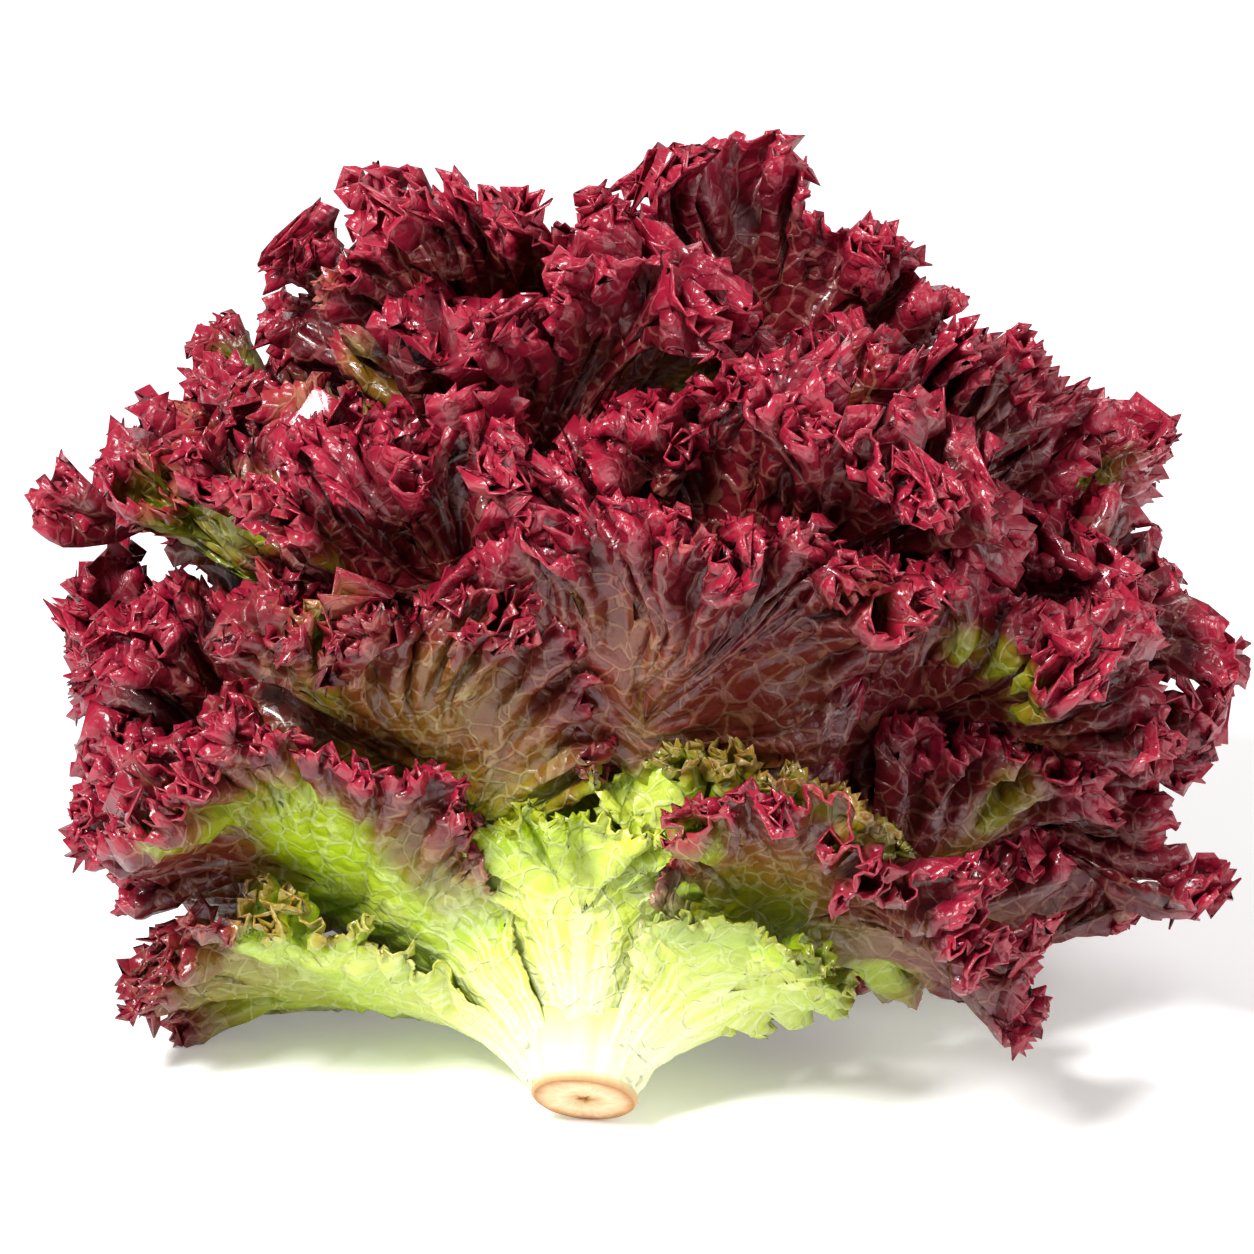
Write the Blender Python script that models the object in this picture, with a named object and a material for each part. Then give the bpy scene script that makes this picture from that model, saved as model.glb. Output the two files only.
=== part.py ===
# A head of lollo rosso lettuce, cut whole and laid on a table with its stem to the front.
# Metres, +Z up, the table is z = 0 and the origin lies under the middle of the head's box.
import math

import bpy
import numpy as np

# The head: how many leaves the short stem carries and how they follow each other round it.
LEAF_COUNT = 40
LEAF_TURN = math.radians(137.508)
FIRST_LEAF_AZIMUTH = math.radians(-112.0)
AZIMUTH_SCATTER = math.radians(5.0)
SEED = 1000

# How the head lies: its axis rises from the cut towards the back and leans a little to the right.
AXIS_RISE = math.radians(42.3)
AXIS_SWING = math.radians(8.0)

# The outline of the head: a ball, a little flattened along the axis, that the leaf tips reach.
HEAD_CENTRE_UP_AXIS = 0.111
HEAD_RADIUS_ACROSS = 0.129
HEAD_RADIUS_ALONG = 0.128
TIP_SCATTER = 0.04

# The stem: a cut disc, a narrower neck that the leaf bases wrap, and a core inside the head.
CUT_RADIUS = 0.0114
CUT_RIM_HEIGHT = 0.0015
NECK_RADIUS = 0.0092
NECK_START = 0.0030
NECK_END = 0.006
CORE_TIP_RADIUS = 0.0034
CORE_LENGTH = 0.042
CUT_CHAMFER = 0.0006

# Where the leaves leave the stem, outermost leaf first.
FIRST_LEAF_HEIGHT = 0.0036
LEAF_HEIGHT_STEP = 0.00092
BASE_GAP = 0.0008

# How far a leaf leans from the axis: at its base, past its bend, and in its curled-out tip.
OUTER_BASE_LEAN = math.radians(42.0)
HEART_BASE_LEAN = math.radians(20.0)
OUTER_LEAN = math.radians(71.0)
HEART_LEAN = math.radians(6.0)
BEND_LENGTH = 0.040
OUTER_TIP_CURL = math.radians(118.0)
HEART_TIP_CURL = math.radians(66.0)
CURL_POWER = 2.6
OUTER_CURL_LENGTH = 0.142
HEART_CURL_LENGTH = 0.185

# What the table does to the leaves on the underside.
FULL_LEAN_LIMIT = math.radians(70.0)
TABLE_SLACK = math.radians(9.0)
PRESS_DEPTH = 0.0018
PRESS_HEIGHT = 0.00015

# One leaf: half its width, where its rib ends, and its thickness.
OUTER_HALF_WIDTH = 0.058
HEART_HALF_WIDTH = 0.048
WIDTH_SCATTER = 0.06
BASE_HALF_WIDTH = 0.0075
OUTER_BASE_HALF_ANGLE = 0.52
HEART_BASE_HALF_ANGLE = 0.36
BLADE_HALF_ANGLE = 0.90
RIB_SHARE = 0.56
BLADE_THICKNESS = 0.0009
RIB_THICKNESS = 0.0020

# The large waves of the margin.
WAVE_PITCH = 0.037
WAVE_START = 0.20
WIDE_SWING = 1.30
NARROW_SWING = 0.70
SWING_LIMIT = 0.20
FREE_HALF_ANGLE = math.radians(39.0)
COLUMNS_PER_WAVE = 4

# Leaves that differ from the run: turn in degrees, share of length, share of width,
# droop, and the distances along the leaf between which the droop grows.
SINGLE_LEAVES = {
    0: (4.0, 0.90, 1.20, 4.6, 0.010, 0.070),
    1: (34.0, 0.58, 0.62, 6.0, 0.010, 0.060),
    2: (0.0, 1.00, 0.90, 0.0, 0.070, 0.140),
    3: (-6.0, 1.12, 1.05, 0.0, 0.070, 0.140),
    4: (-10.0, 0.94, 1.14, 9.0, 0.040, 0.110),
    5: (-6.0, 1.00, 0.82, -1.0, 0.010, 0.060),
    6: (8.0, 0.50, 0.60, 0.0, 0.070, 0.140),
    7: (0.0, 0.92, 0.94, 0.0, 0.070, 0.140),
    8: (2.0, 1.02, 1.05, 0.0, 0.070, 0.140),
    9: (4.0, 0.66, 0.80, 0.0, 0.070, 0.140),
    11: (8.0, 0.95, 0.90, 0.0, 0.070, 0.140),
    15: (0.0, 1.00, 0.86, 0.0, 0.070, 0.140),
    18: (0.0, 1.00, 0.80, 0.0, 0.070, 0.140),
    21: (0.0, 1.08, 0.90, 0.0, 0.070, 0.140),
    24: (0.0, 0.96, 1.00, 0.0, 0.070, 0.140),
    29: (0.0, 0.99, 1.00, 0.0, 0.070, 0.140),
    30: (0.0, 0.98, 1.00, 0.0, 0.070, 0.140),
    32: (14.0, 1.07, 0.86, 0.0, 0.070, 0.140),
    34: (0.0, 1.08, 0.92, 0.0, 0.070, 0.140),
    35: (0.0, 0.99, 0.90, 0.0, 0.070, 0.140),
    37: (0.0, 0.935, 0.88, 0.0, 0.070, 0.140),
    38: (0.0, 0.78, 0.84, 0.0, 0.070, 0.140),
    39: (0.0, 0.95, 0.76, 1.3, 0.070, 0.140),
}
USUAL_LEAF = (0.0, 1.0, 1.0, 0.0, 0.070, 0.140)

RISE_SIN = math.sin(AXIS_RISE)
RISE_COS = math.cos(AXIS_RISE)
SWING_SIN = math.sin(AXIS_SWING)
SWING_COS = math.cos(AXIS_SWING)
AXIS = np.array([SWING_SIN * RISE_COS, SWING_COS * RISE_COS, RISE_SIN])
FRONT = np.array([-SWING_SIN * RISE_SIN, -SWING_COS * RISE_SIN, RISE_COS])
SIDE = np.array([SWING_COS, -SWING_SIN, 0.0])
CUT_CENTRE = np.array([0.0, 0.0, CUT_RADIUS * RISE_COS - CUT_CHAMFER * RISE_SIN])
STEPS, SHARES = np.polynomial.legendre.leggauss(12)
STEPS = (STEPS + 1.0) / 2.0
SHARES = SHARES / 2.0


def blend(value, start, end):
    """Smooth step from 0 at start to 1 at end."""
    part = np.clip((value - start) / (end - start), 0.0, 1.0)
    return part * part * (3.0 - 2.0 * part)


def between(share, first, last):
    """Straight change from first to last as share runs from 0 to 1."""
    return first + share * (last - first)


def core_radius(height):
    """Radius of the stem at a height above the cut."""
    heights = [0.0, CUT_RIM_HEIGHT, NECK_START, NECK_END, CORE_LENGTH]
    radii = [CUT_RADIUS, CUT_RADIUS, NECK_RADIUS, NECK_RADIUS, CORE_TIP_RADIUS]
    return np.interp(height, heights, radii)


def table_angle(azimuth):
    """Angle from the axis down to the table, seen from the cut."""
    return np.arctan2(RISE_SIN, -RISE_COS * np.cos(azimuth))


def lean_room(azimuth):
    """Share of its lean that the table leaves to a leaf: the softened lesser of two limits."""
    power = 7.0
    limit = table_angle(azimuth) + TABLE_SLACK
    free = math.pi - AXIS_RISE
    room = (limit ** -power + FULL_LEAN_LIMIT ** -power) ** (-1.0 / power)
    return room / (free ** -power + FULL_LEAN_LIMIT ** -power) ** (-1.0 / power)


def curl_room(azimuth):
    """Share of its tip curl that the table leaves to a leaf."""
    return 0.08 + 0.92 * blend(table_angle(azimuth), AXIS_RISE, AXIS_RISE + math.radians(58.0))


def lean(layer, azimuth, reach):
    """Angle between the axis and a leaf of a layer, at a distance along the leaf.

    The base lean grows to the full lean as tanh(distance / bend length);
    the tip curl grows with a power of the distance.
    """
    share = layer / (LEAF_COUNT - 1.0)
    full = np.arccos(between(share, math.cos(OUTER_LEAN), math.cos(HEART_LEAN)).clip(-1.0, 0.9999))
    base = between(share, OUTER_BASE_LEAN, HEART_BASE_LEAN)
    body = base + (full - base) * np.tanh(reach / BEND_LENGTH)
    curl = between(share, OUTER_TIP_CURL, HEART_TIP_CURL)
    curl = curl * (reach / between(share, OUTER_CURL_LENGTH, HEART_CURL_LENGTH)) ** CURL_POWER
    return body * lean_room(azimuth) + curl * curl_room(azimuth)


def layer_curve(layer, azimuth, reach):
    """Distance from the axis and height along it: the sums of sin(lean) and cos(lean)."""
    height = FIRST_LEAF_HEIGHT + LEAF_HEIGHT_STEP * layer
    out = core_radius(height) + BASE_GAP
    up = height
    for step, share in zip(STEPS, SHARES):
        angle = lean(layer, azimuth, reach * step)
        out = out + share * reach * np.sin(angle)
        up = up + share * reach * np.cos(angle)
    return out, up


def place(layer, azimuth, reach):
    """Point of a layer, pressed softly onto the table: press * ln(1 + e^(z / press))."""
    out, up = layer_curve(layer, azimuth, reach)
    away = np.cos(azimuth)[..., None] * FRONT + np.sin(azimuth)[..., None] * SIDE
    point = CUT_CENTRE + up[..., None] * AXIS + out[..., None] * away
    height = (point[..., 2] - PRESS_HEIGHT) / PRESS_DEPTH
    point[..., 2] = PRESS_HEIGHT + PRESS_DEPTH * np.logaddexp(0.0, height)
    return point


def make_wobble(rng, waves):
    """Seeded slow noise along the margin: frequencies, phases and sizes of five sines."""
    return waves * (0.5 + rng.random(5)), rng.random(5) * 2.0 * math.pi, 0.35 + 0.3 * rng.random(5)


def wobble(noise, along):
    """Value of the noise at a share of the margin, about -1 to 1."""
    total = 0.0
    for frequency, phase, size in zip(*noise):
        total = total + size * np.sin(2.0 * math.pi * frequency * along + phase)
    return total / 1.2


def plan_leaf(number):
    """Draw the sizes of one leaf."""
    share = number / (LEAF_COUNT - 1.0)
    rng = np.random.default_rng(SEED + number)
    draw = rng.uniform(-1.0, 1.0, 6)
    turn, longer, wider, droop, droop_start, droop_end = SINGLE_LEAVES.get(number, USUAL_LEAF)
    azimuth = FIRST_LEAF_AZIMUTH + number * LEAF_TURN + AZIMUTH_SCATTER * draw[0] + math.radians(turn)

    reaches = np.linspace(0.05, 0.20, 151)
    out, up = layer_curve(np.full(151, float(number)), np.full(151, azimuth), reaches)
    radius = HEAD_RADIUS_ACROSS * (1.0 + TIP_SCATTER * draw[1])
    along = (up - HEAD_CENTRE_UP_AXIS) * HEAD_RADIUS_ACROSS / HEAD_RADIUS_ALONG
    length = reaches[np.nonzero(np.hypot(out, along) < radius)[0][-1]] * longer

    here = np.array([float(number)])
    there = np.array([azimuth])
    middle = float(layer_curve(here, there, np.array([0.7 * length]))[0][0])
    half_width = between(share, OUTER_HALF_WIDTH, HEART_HALF_WIDTH) * (1.0 + WIDTH_SCATTER * draw[2])
    half_width = min(half_width * wider, 1.08 * middle)
    tip = np.array([length])
    gap = float(np.linalg.norm(place(here + 1.0, there, tip) - place(here, there, tip)))
    widest_swing = WIDE_SWING if half_width / middle < FREE_HALF_ANGLE else NARROW_SWING
    waves = max(6, int(round(2.2 * (length + half_width) / WAVE_PITCH)))
    return {
        "number": number,
        "azimuth": azimuth,
        "length": length,
        "half_width": half_width,
        "droop": (droop, droop_start, droop_end),
        "swing": min(widest_swing, SWING_LIMIT * half_width / gap),
        "waves": waves,
        "phase": make_wobble(rng, waves * 0.35),
        "size": make_wobble(rng, waves * 0.3),
        "lobe": make_wobble(rng, waves * 0.5),
        "start": rng.random() * 2.0 * math.pi,
    }


def margin(leaf, angle):
    """Flat outline: x = w * sin(a) * u^0.75 widened at the base, y = length * u, u = (1 + cos a) / 2.

    The width is held under the share of the turn round the axis that a leaf may take.
    """
    rise = (1.0 + np.cos(angle)) / 2.0
    across = leaf["half_width"] * np.sin(np.abs(angle)) * rise ** 0.75 / 0.69
    across = across + BASE_HALF_WIDTH * (1.0 - rise)
    reach = leaf["length"] * rise
    number = float(leaf["number"])
    out = layer_curve(np.full_like(reach, number), np.full_like(reach, leaf["azimuth"]), reach)[0]
    base = between(number / (LEAF_COUNT - 1.0), OUTER_BASE_HALF_ANGLE, HEART_BASE_HALF_ANGLE)
    widest = out * between(blend(reach, 0.01, 0.08), base, BLADE_HALF_ANGLE)
    across = across * (1.0 + (across / widest) ** 4) ** -0.25
    return np.sign(angle) * across, reach


def leaf_points(leaf, inward, along, waving):
    """Middle surface of a leaf, with its waves or, where waving is 0, without them.

    inward runs from 0 on the rib to 1 on the margin, along from 0 to 1 round the margin.
    """
    angles = np.linspace(-math.pi, math.pi, 2001)
    edge_x, edge_y = margin(leaf, angles)
    run = np.concatenate([[0.0], np.cumsum(np.hypot(np.diff(edge_x), np.diff(edge_y)))])
    angle = np.interp(along, run / run[-1], angles)
    edge_x, edge_y = margin(leaf, angle)
    rib_y = edge_y * (1.0 - (1.0 - RIB_SHARE) * (edge_y / leaf["length"]) ** 0.6)
    width = np.hypot(edge_x, edge_y - rib_y)
    wave = 2.0 * math.pi * leaf["waves"] * along + leaf["start"] + 1.1 * wobble(leaf["phase"], along)
    size = np.clip(0.85 + 0.2 * wobble(leaf["size"], along), 0.6, 1.0)
    ramp = np.clip((inward - WAVE_START) / (1.0 - WAVE_START), 0.0, 1.0) ** 1.2
    ramp = ramp * blend(width, 0.006, 0.030)
    lobes = 1.0 + ramp * (0.10 * np.sin(wave) ** 2 - 0.06 + 0.05 * wobble(leaf["lobe"], along))
    reach = np.maximum(rib_y + inward * lobes * (edge_y - rib_y), 0.0)
    number = float(leaf["number"])
    out = layer_curve(np.full_like(reach, number), np.full_like(reach, leaf["azimuth"]), reach)[0]
    across = inward * edge_x * lobes
    droop, droop_start, droop_end = leaf["droop"]
    layer = number + waving * leaf["swing"] * size * ramp * np.sin(wave)
    layer = layer - droop * blend(reach, droop_start, droop_end)
    return place(layer, leaf["azimuth"] + across / out, reach)


def leaf_rows(columns):
    """Rows from the rib to the margin: how far out each lies and how many steps it has."""
    return [(0.0, columns // 4), (0.32, columns // 4), (0.66, columns // 2), (1.0, columns)]


def smooth_normals(points, faces):
    """Unit normals at the points: the area-weighted mean of the triangles round each."""
    corners = points[faces]
    normals = np.cross(corners[:, 1] - corners[:, 0], corners[:, 2] - corners[:, 0])
    total = np.zeros_like(points)
    for corner in range(3):
        np.add.at(total, faces[:, corner], normals)
    return total / np.linalg.norm(total, axis=1, keepdims=True)


def leaf_shell(leaf):
    """Closed thin body of a leaf: both faces carry the same triangles, a strip joins them."""
    columns = COLUMNS_PER_WAVE * leaf["waves"]
    points = []
    calm = []
    flesh = []
    rows = []
    count = 0
    for inward, steps in leaf_rows(columns):
        along = np.linspace(0.0, 1.0, steps + 1)
        numbers = np.arange(steps + 1)
        if inward == 0.0:
            along = along[: steps // 2 + 1]
            numbers = np.minimum(numbers, steps - numbers)
        points.append(leaf_points(leaf, np.full(len(along), inward), along, 1.0))
        calm.append(leaf_points(leaf, np.full(len(along), inward), along, 0.0))
        far = np.abs(2.0 * along - 1.0)
        fleshy = (1.0 - blend(inward, 0.0, 0.7)) * (0.12 + 0.88 * far ** 1.5)
        flesh.append(np.maximum(fleshy, blend(far, 0.93, 1.0) * 0.6) * (RIB_THICKNESS - BLADE_THICKNESS))
        rows.append(numbers + count)
        count += len(along)
    points = np.concatenate(points)
    calm = np.concatenate(calm)
    flesh = np.concatenate(flesh)

    faces = []
    for low, high in zip(rows[:-1], rows[1:]):
        double = len(high) > len(low)
        for step in range(len(low) - 1):
            a, b = low[step], low[step + 1]
            if double:
                c, d, e = high[2 * step], high[2 * step + 1], high[2 * step + 2]
                faces += [(a, b, d), (a, d, c), (b, e, d)]
            else:
                c, d = high[step], high[step + 1]
                faces += [(a, b, d), (a, d, c)]
    faces = np.array([face for face in faces if len(set(face)) == 3])

    blade = smooth_normals(points, faces) * BLADE_THICKNESS / 2.0
    first = points + blade + smooth_normals(calm, faces) * flesh[:, None]
    second = points - blade
    both = np.concatenate([first, second])
    edges = {}
    for a, b, c in faces:
        for edge in ((a, b), (b, c), (c, a)):
            edges[edge] = edges.get(edge, 0) + 1
    rim = [edge for edge in edges if (edge[1], edge[0]) not in edges]
    strip = []
    for a, b in rim:
        strip += [(b, a, a + count), (b, a + count, b + count)]
    body = np.concatenate([faces, faces[:, ::-1] + count, np.array(strip)])
    return both, body


def stem_body():
    """Turned body of the stem: rings round the axis, closed by the cut and by the core's tip."""
    ring = [
        (0.0, CUT_RADIUS - CUT_CHAMFER),
        (CUT_CHAMFER, CUT_RADIUS),
        (CUT_RIM_HEIGHT, CUT_RADIUS),
        (NECK_START, NECK_RADIUS),
        (NECK_END, NECK_RADIUS),
        (CORE_LENGTH - 0.003, core_radius(CORE_LENGTH - 0.003)),
        (CORE_LENGTH, 0.002),
    ]
    sides = 28
    points = []
    for height, radius in ring:
        for side in range(sides):
            azimuth = 2.0 * math.pi * side / sides + math.pi
            away = math.cos(azimuth) * FRONT + math.sin(azimuth) * SIDE
            points.append(CUT_CENTRE + height * AXIS + radius * away)
    points.append(CUT_CENTRE)
    points.append(CUT_CENTRE + CORE_LENGTH * AXIS)
    faces = []
    for level in range(len(ring) - 1):
        for side in range(sides):
            a = level * sides + side
            b = level * sides + (side + 1) % sides
            faces += [(a, b, b + sides), (a, b + sides, a + sides)]
    cut = len(ring) * sides
    top = (len(ring) - 1) * sides
    for side in range(sides):
        other = (side + 1) % sides
        faces.append((cut, other, side))
        faces.append((cut + 1, top + side, top + other))
    return np.array(points), np.array(faces)


def volume(points, faces):
    """Signed volume of a closed body."""
    corners = points[faces]
    return float(np.einsum("ij,ij->i", corners[:, 0], np.cross(corners[:, 1], corners[:, 2])).sum() / 6.0)


def leaf_colour(number):
    """Green to burgundy: the short outer leaves stay green."""
    if number in (1, 6):
        return (0.42, 0.56, 0.16, 1.0)
    return (0.19 + 0.004 * (number % 5), 0.018, 0.045, 1.0)


def add_object(name, points, faces, colour, roughness):
    """Make one object with its own material."""
    mesh = bpy.data.meshes.new(name)
    mesh.from_pydata(points.tolist(), [], faces.tolist())
    mesh.update()
    material = bpy.data.materials.new(name)
    material.use_nodes = True
    shader = material.node_tree.nodes["Principled BSDF"]
    shader.inputs["Base Color"].default_value = colour
    shader.inputs["Roughness"].default_value = roughness
    mesh.materials.append(material)
    thing = bpy.data.objects.new(name, mesh)
    bpy.context.scene.collection.objects.link(thing)


for old in list(bpy.data.objects):
    bpy.data.objects.remove(old, do_unlink=True)

bodies = {"cut_stem": stem_body()}
for leaf_number in range(LEAF_COUNT):
    bodies["leaf_%02d" % (leaf_number + 1)] = leaf_shell(plan_leaf(leaf_number))

# The leaves that press on the table are flat where they touch it.
for body_points, _ in bodies.values():
    body_points[:, 2] = np.maximum(body_points[:, 2], 0.0)

every = np.concatenate([body_points for body_points, _ in bodies.values()])
middle = (every.min(axis=0) + every.max(axis=0)) / 2.0
shift = np.array([middle[0], middle[1], every[:, 2].min()])
for body_name, (body_points, body_faces) in bodies.items():
    if volume(body_points, body_faces) < 0.0:
        body_faces = body_faces[:, ::-1]
    if body_name == "cut_stem":
        add_object(body_name, body_points - shift, body_faces, (0.74, 0.52, 0.31, 1.0), 0.6)
    else:
        tint = leaf_colour(int(body_name[5:]) - 1)
        add_object(body_name, body_points - shift, body_faces, tint, 0.38)
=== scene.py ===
import math

import bpy
import numpy as np
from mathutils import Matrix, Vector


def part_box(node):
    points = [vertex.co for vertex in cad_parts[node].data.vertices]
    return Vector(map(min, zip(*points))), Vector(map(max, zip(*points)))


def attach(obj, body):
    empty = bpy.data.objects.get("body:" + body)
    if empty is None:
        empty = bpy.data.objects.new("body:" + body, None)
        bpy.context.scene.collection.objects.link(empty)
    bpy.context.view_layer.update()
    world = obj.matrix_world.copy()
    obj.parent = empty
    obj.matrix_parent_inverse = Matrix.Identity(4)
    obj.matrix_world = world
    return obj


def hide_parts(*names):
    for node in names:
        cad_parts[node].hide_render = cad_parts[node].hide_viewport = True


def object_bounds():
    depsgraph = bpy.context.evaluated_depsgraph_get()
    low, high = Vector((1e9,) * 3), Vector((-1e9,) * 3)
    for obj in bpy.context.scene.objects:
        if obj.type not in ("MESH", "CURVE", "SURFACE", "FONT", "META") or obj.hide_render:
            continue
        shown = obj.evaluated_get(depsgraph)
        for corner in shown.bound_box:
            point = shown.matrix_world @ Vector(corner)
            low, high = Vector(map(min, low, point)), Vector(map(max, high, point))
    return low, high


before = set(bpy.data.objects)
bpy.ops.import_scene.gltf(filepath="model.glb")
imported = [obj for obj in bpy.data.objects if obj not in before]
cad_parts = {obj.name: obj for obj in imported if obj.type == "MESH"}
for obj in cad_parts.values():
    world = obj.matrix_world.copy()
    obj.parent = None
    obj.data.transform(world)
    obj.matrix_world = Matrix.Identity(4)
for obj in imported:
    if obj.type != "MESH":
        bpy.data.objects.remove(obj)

cad_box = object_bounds()

# The cut stem: a short fleshy stalk, sliced across with a knife just under the first leaves.
# The slice has dried to tan, with a browner rim and pith. Above it the feet of the first leaves
# close up to a white ridged collar, and the core runs on inside the head and carries every leaf.
AXIS_RISE = math.radians(42.3)
AXIS_SWING = math.radians(8.0)
CUT_RADIUS = 0.0114
CUT_RIM_HEIGHT = 0.0015
CUT_CHAMFER = 0.0006
NECK_RADIUS = 0.0092
NECK_START = 0.0030
NECK_END = 0.006
CORE_TIP_RADIUS = 0.0034
CORE_LENGTH = 0.042
COLLAR_HEIGHT = 0.0150
COLLAR_TOP = 0.0180
COLLAR_RADIUS = 0.0168
FOOT_TURNS = [-108.0, 59.5, -65.5, 68.0, 1.0, -170.0, 132.0, -90.0, 46.0, -38.0, 95.0, 31.0]
FOOT_BULGE = 0.0016
FOOT_SPREAD = 0.20
SLICE_RINGS = 22
STEM_SIDES = 128
STEM_HEIGHTS = [0.0, CUT_CHAMFER, CUT_RIM_HEIGHT, NECK_START, NECK_END, CORE_LENGTH - 0.003, CORE_LENGTH]
STEM_RADII = [CUT_RADIUS - CUT_CHAMFER, CUT_RADIUS, CUT_RADIUS, NECK_RADIUS, NECK_RADIUS, 0.00388, 0.002]

RISE_SIN, RISE_COS = math.sin(AXIS_RISE), math.cos(AXIS_RISE)
SWING_SIN, SWING_COS = math.sin(AXIS_SWING), math.cos(AXIS_SWING)
AXIS = np.array([SWING_SIN * RISE_COS, SWING_COS * RISE_COS, RISE_SIN])
FRONT = np.array([-SWING_SIN * RISE_SIN, -SWING_COS * RISE_SIN, RISE_COS])
SIDE = np.array([SWING_COS, -SWING_SIN, 0.0])


def turned(centre, heights, radii, angles):
    """Rings round the axis: centre + height * axis + radius * (cos a * front + sin a * side)."""
    away = np.cos(angles)[:, None] * FRONT + np.sin(angles)[:, None] * SIDE
    return centre + np.asarray(heights)[:, None, None] * AXIS + np.asarray(radii)[..., None, None] * away


# The solids are centred on the head's box, so the cut's centre is read back from the stem's own
# solid, whose rings have 28 sides.
cut_centre = np.array([0.0, 0.0, CUT_RADIUS * RISE_COS - CUT_CHAMFER * RISE_SIN])
rings = turned(cut_centre, STEM_HEIGHTS, STEM_RADII, np.arange(28) * 2.0 * math.pi / 28 + math.pi)
cut_centre = cut_centre + np.array(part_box("cut_stem")[0]) - rings.reshape(-1, 3).min(axis=0)


def linear(hex_colour):
    """An sRGB hex colour as linear red, green, blue and alpha."""
    parts = [int(hex_colour[place:place + 2], 16) / 255.0 for place in (1, 3, 5)]
    return tuple(((part + 0.055) / 1.055) ** 2.4 if part > 0.04045 else part / 12.92 for part in parts) + (1.0,)


def add_node(material, kind, settings=None, links=None):
    """One shader node: settings name its properties or sockets, links lead outputs into its sockets."""
    node = material.node_tree.nodes.new("ShaderNode" + kind)
    for name, value in (settings or {}).items():
        if isinstance(name, str) and hasattr(node, name):
            setattr(node, name, value)
        else:
            node.inputs[name].default_value = value
    for name, output in (links or {}).items():
        material.node_tree.links.new(output, node.inputs[name])
    return node


def add_ramp(material, factor, stops):
    """A colour ramp node from a list of positions and hex colours."""
    ramp = add_node(material, "ValToRGB", {}, {"Fac": factor})
    elements = ramp.color_ramp.elements
    elements[0].position, elements[0].color = stops[0][0], linear(stops[0][1])
    elements[1].position, elements[1].color = stops[-1][0], linear(stops[-1][1])
    for position, colour in stops[1:-1]:
        elements.new(position).color = linear(colour)
    return ramp


def empty_material(name):
    """A material with no nodes yet."""
    material = bpy.data.materials.new(name)
    material.use_nodes = True
    material.node_tree.nodes.clear()
    return material


def add_piece(name, points, faces, values, material):
    """A mesh object at the origin with one number a vertex for each named value."""
    mesh = bpy.data.meshes.new(name)
    mesh.from_pydata(points.tolist(), [], faces.tolist())
    mesh.update()
    mesh.shade_smooth()
    for value_name, value in values.items():
        layer = mesh.attributes.new(value_name, "FLOAT", "POINT")
        layer.data.foreach_set("value", np.ascontiguousarray(value, np.float32))
    mesh.materials.append(material)
    piece = bpy.data.objects.new(name, mesh)
    bpy.context.scene.collection.objects.link(piece)
    return piece


def grid_faces(rows, columns):
    """Triangles of a grid whose last column joins its first, wound to face away from the axis."""
    first = np.arange(rows - 1)[:, None] * columns + np.arange(columns)[None, :]
    second = np.arange(rows - 1)[:, None] * columns + (np.arange(columns)[None, :] + 1) % columns
    lower = np.stack([first, second, second + columns], axis=-1).reshape(-1, 3)
    upper = np.stack([first, second + columns, first + columns], axis=-1).reshape(-1, 3)
    return np.concatenate([lower, upper])


# Cut tissue, dried: matt, with fine radial fibres and a darker ring under the skin. Up the side it
# turns from tan through white to the pale green of the leaves' feet. IOR 1.42 is that of wet cell
# walls, and roughness 0.62 that of a dried cut; a little light goes under the surface.
cut_tissue = empty_material("dried cut stem tissue")
place = add_node(cut_tissue, "TexCoord")
spread = add_node(cut_tissue, "Attribute", {"attribute_name": "spread"})
skin = add_node(cut_tissue, "Attribute", {"attribute_name": "skin"})
turn = add_node(cut_tissue, "Attribute", {"attribute_name": "turn"})
mottle = add_node(cut_tissue, "TexNoise", {"Scale": 420.0, "Detail": 5.0, "Roughness": 0.65},
                  {"Vector": place.outputs["Object"]})
fibre_place = add_node(cut_tissue, "CombineXYZ", {}, {"X": turn.outputs["Fac"], "Y": spread.outputs["Fac"]})
fibre_scale = add_node(cut_tissue, "Mapping", {"Scale": (26.0, 2.2, 1.0)},
                       {"Vector": fibre_place.outputs["Vector"]})
fibre = add_node(cut_tissue, "TexNoise", {"Scale": 1.0, "Detail": 3.0},
                 {"Vector": fibre_scale.outputs["Vector"]})
shifted = add_node(cut_tissue, "Math", {"operation": "MULTIPLY_ADD", 1: 0.16, 2: -0.08},
                   {0: mottle.outputs["Fac"]})
ringed = add_node(cut_tissue, "Math", {"operation": "ADD"},
                  {0: spread.outputs["Fac"], 1: shifted.outputs["Value"]})
slice_colour = add_ramp(cut_tissue, ringed.outputs["Value"], [
    (0.0, "#a0682f"), (0.10, "#bd8648"), (0.20, "#ddb886"), (0.48, "#efd8b4"), (0.74, "#e6c398"),
    (0.90, "#c08a55"), (1.0, "#a06a3a")])
fibre_colour = add_node(cut_tissue, "Mix", {"data_type": "RGBA", "blend_type": "MULTIPLY", "Factor": 0.35},
                        {"A": slice_colour.outputs["Color"], "B": fibre.outputs["Fac"]})
skin_tone = add_ramp(cut_tissue, skin.outputs["Fac"], [
    (0.0, "#c08c58"), (0.18, "#dcc79a"), (0.40, "#eeeccc"), (0.62, "#ebedc0"), (1.0, "#d2df78")])
skin_colour = add_node(cut_tissue, "Mix", {"data_type": "RGBA", "blend_type": "MULTIPLY", "Factor": 0.22},
                       {"A": skin_tone.outputs["Color"], "B": fibre.outputs["Fac"]})
on_skin = add_node(cut_tissue, "Math", {"operation": "GREATER_THAN", 1: 0.001}, {0: skin.outputs["Fac"]})
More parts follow.
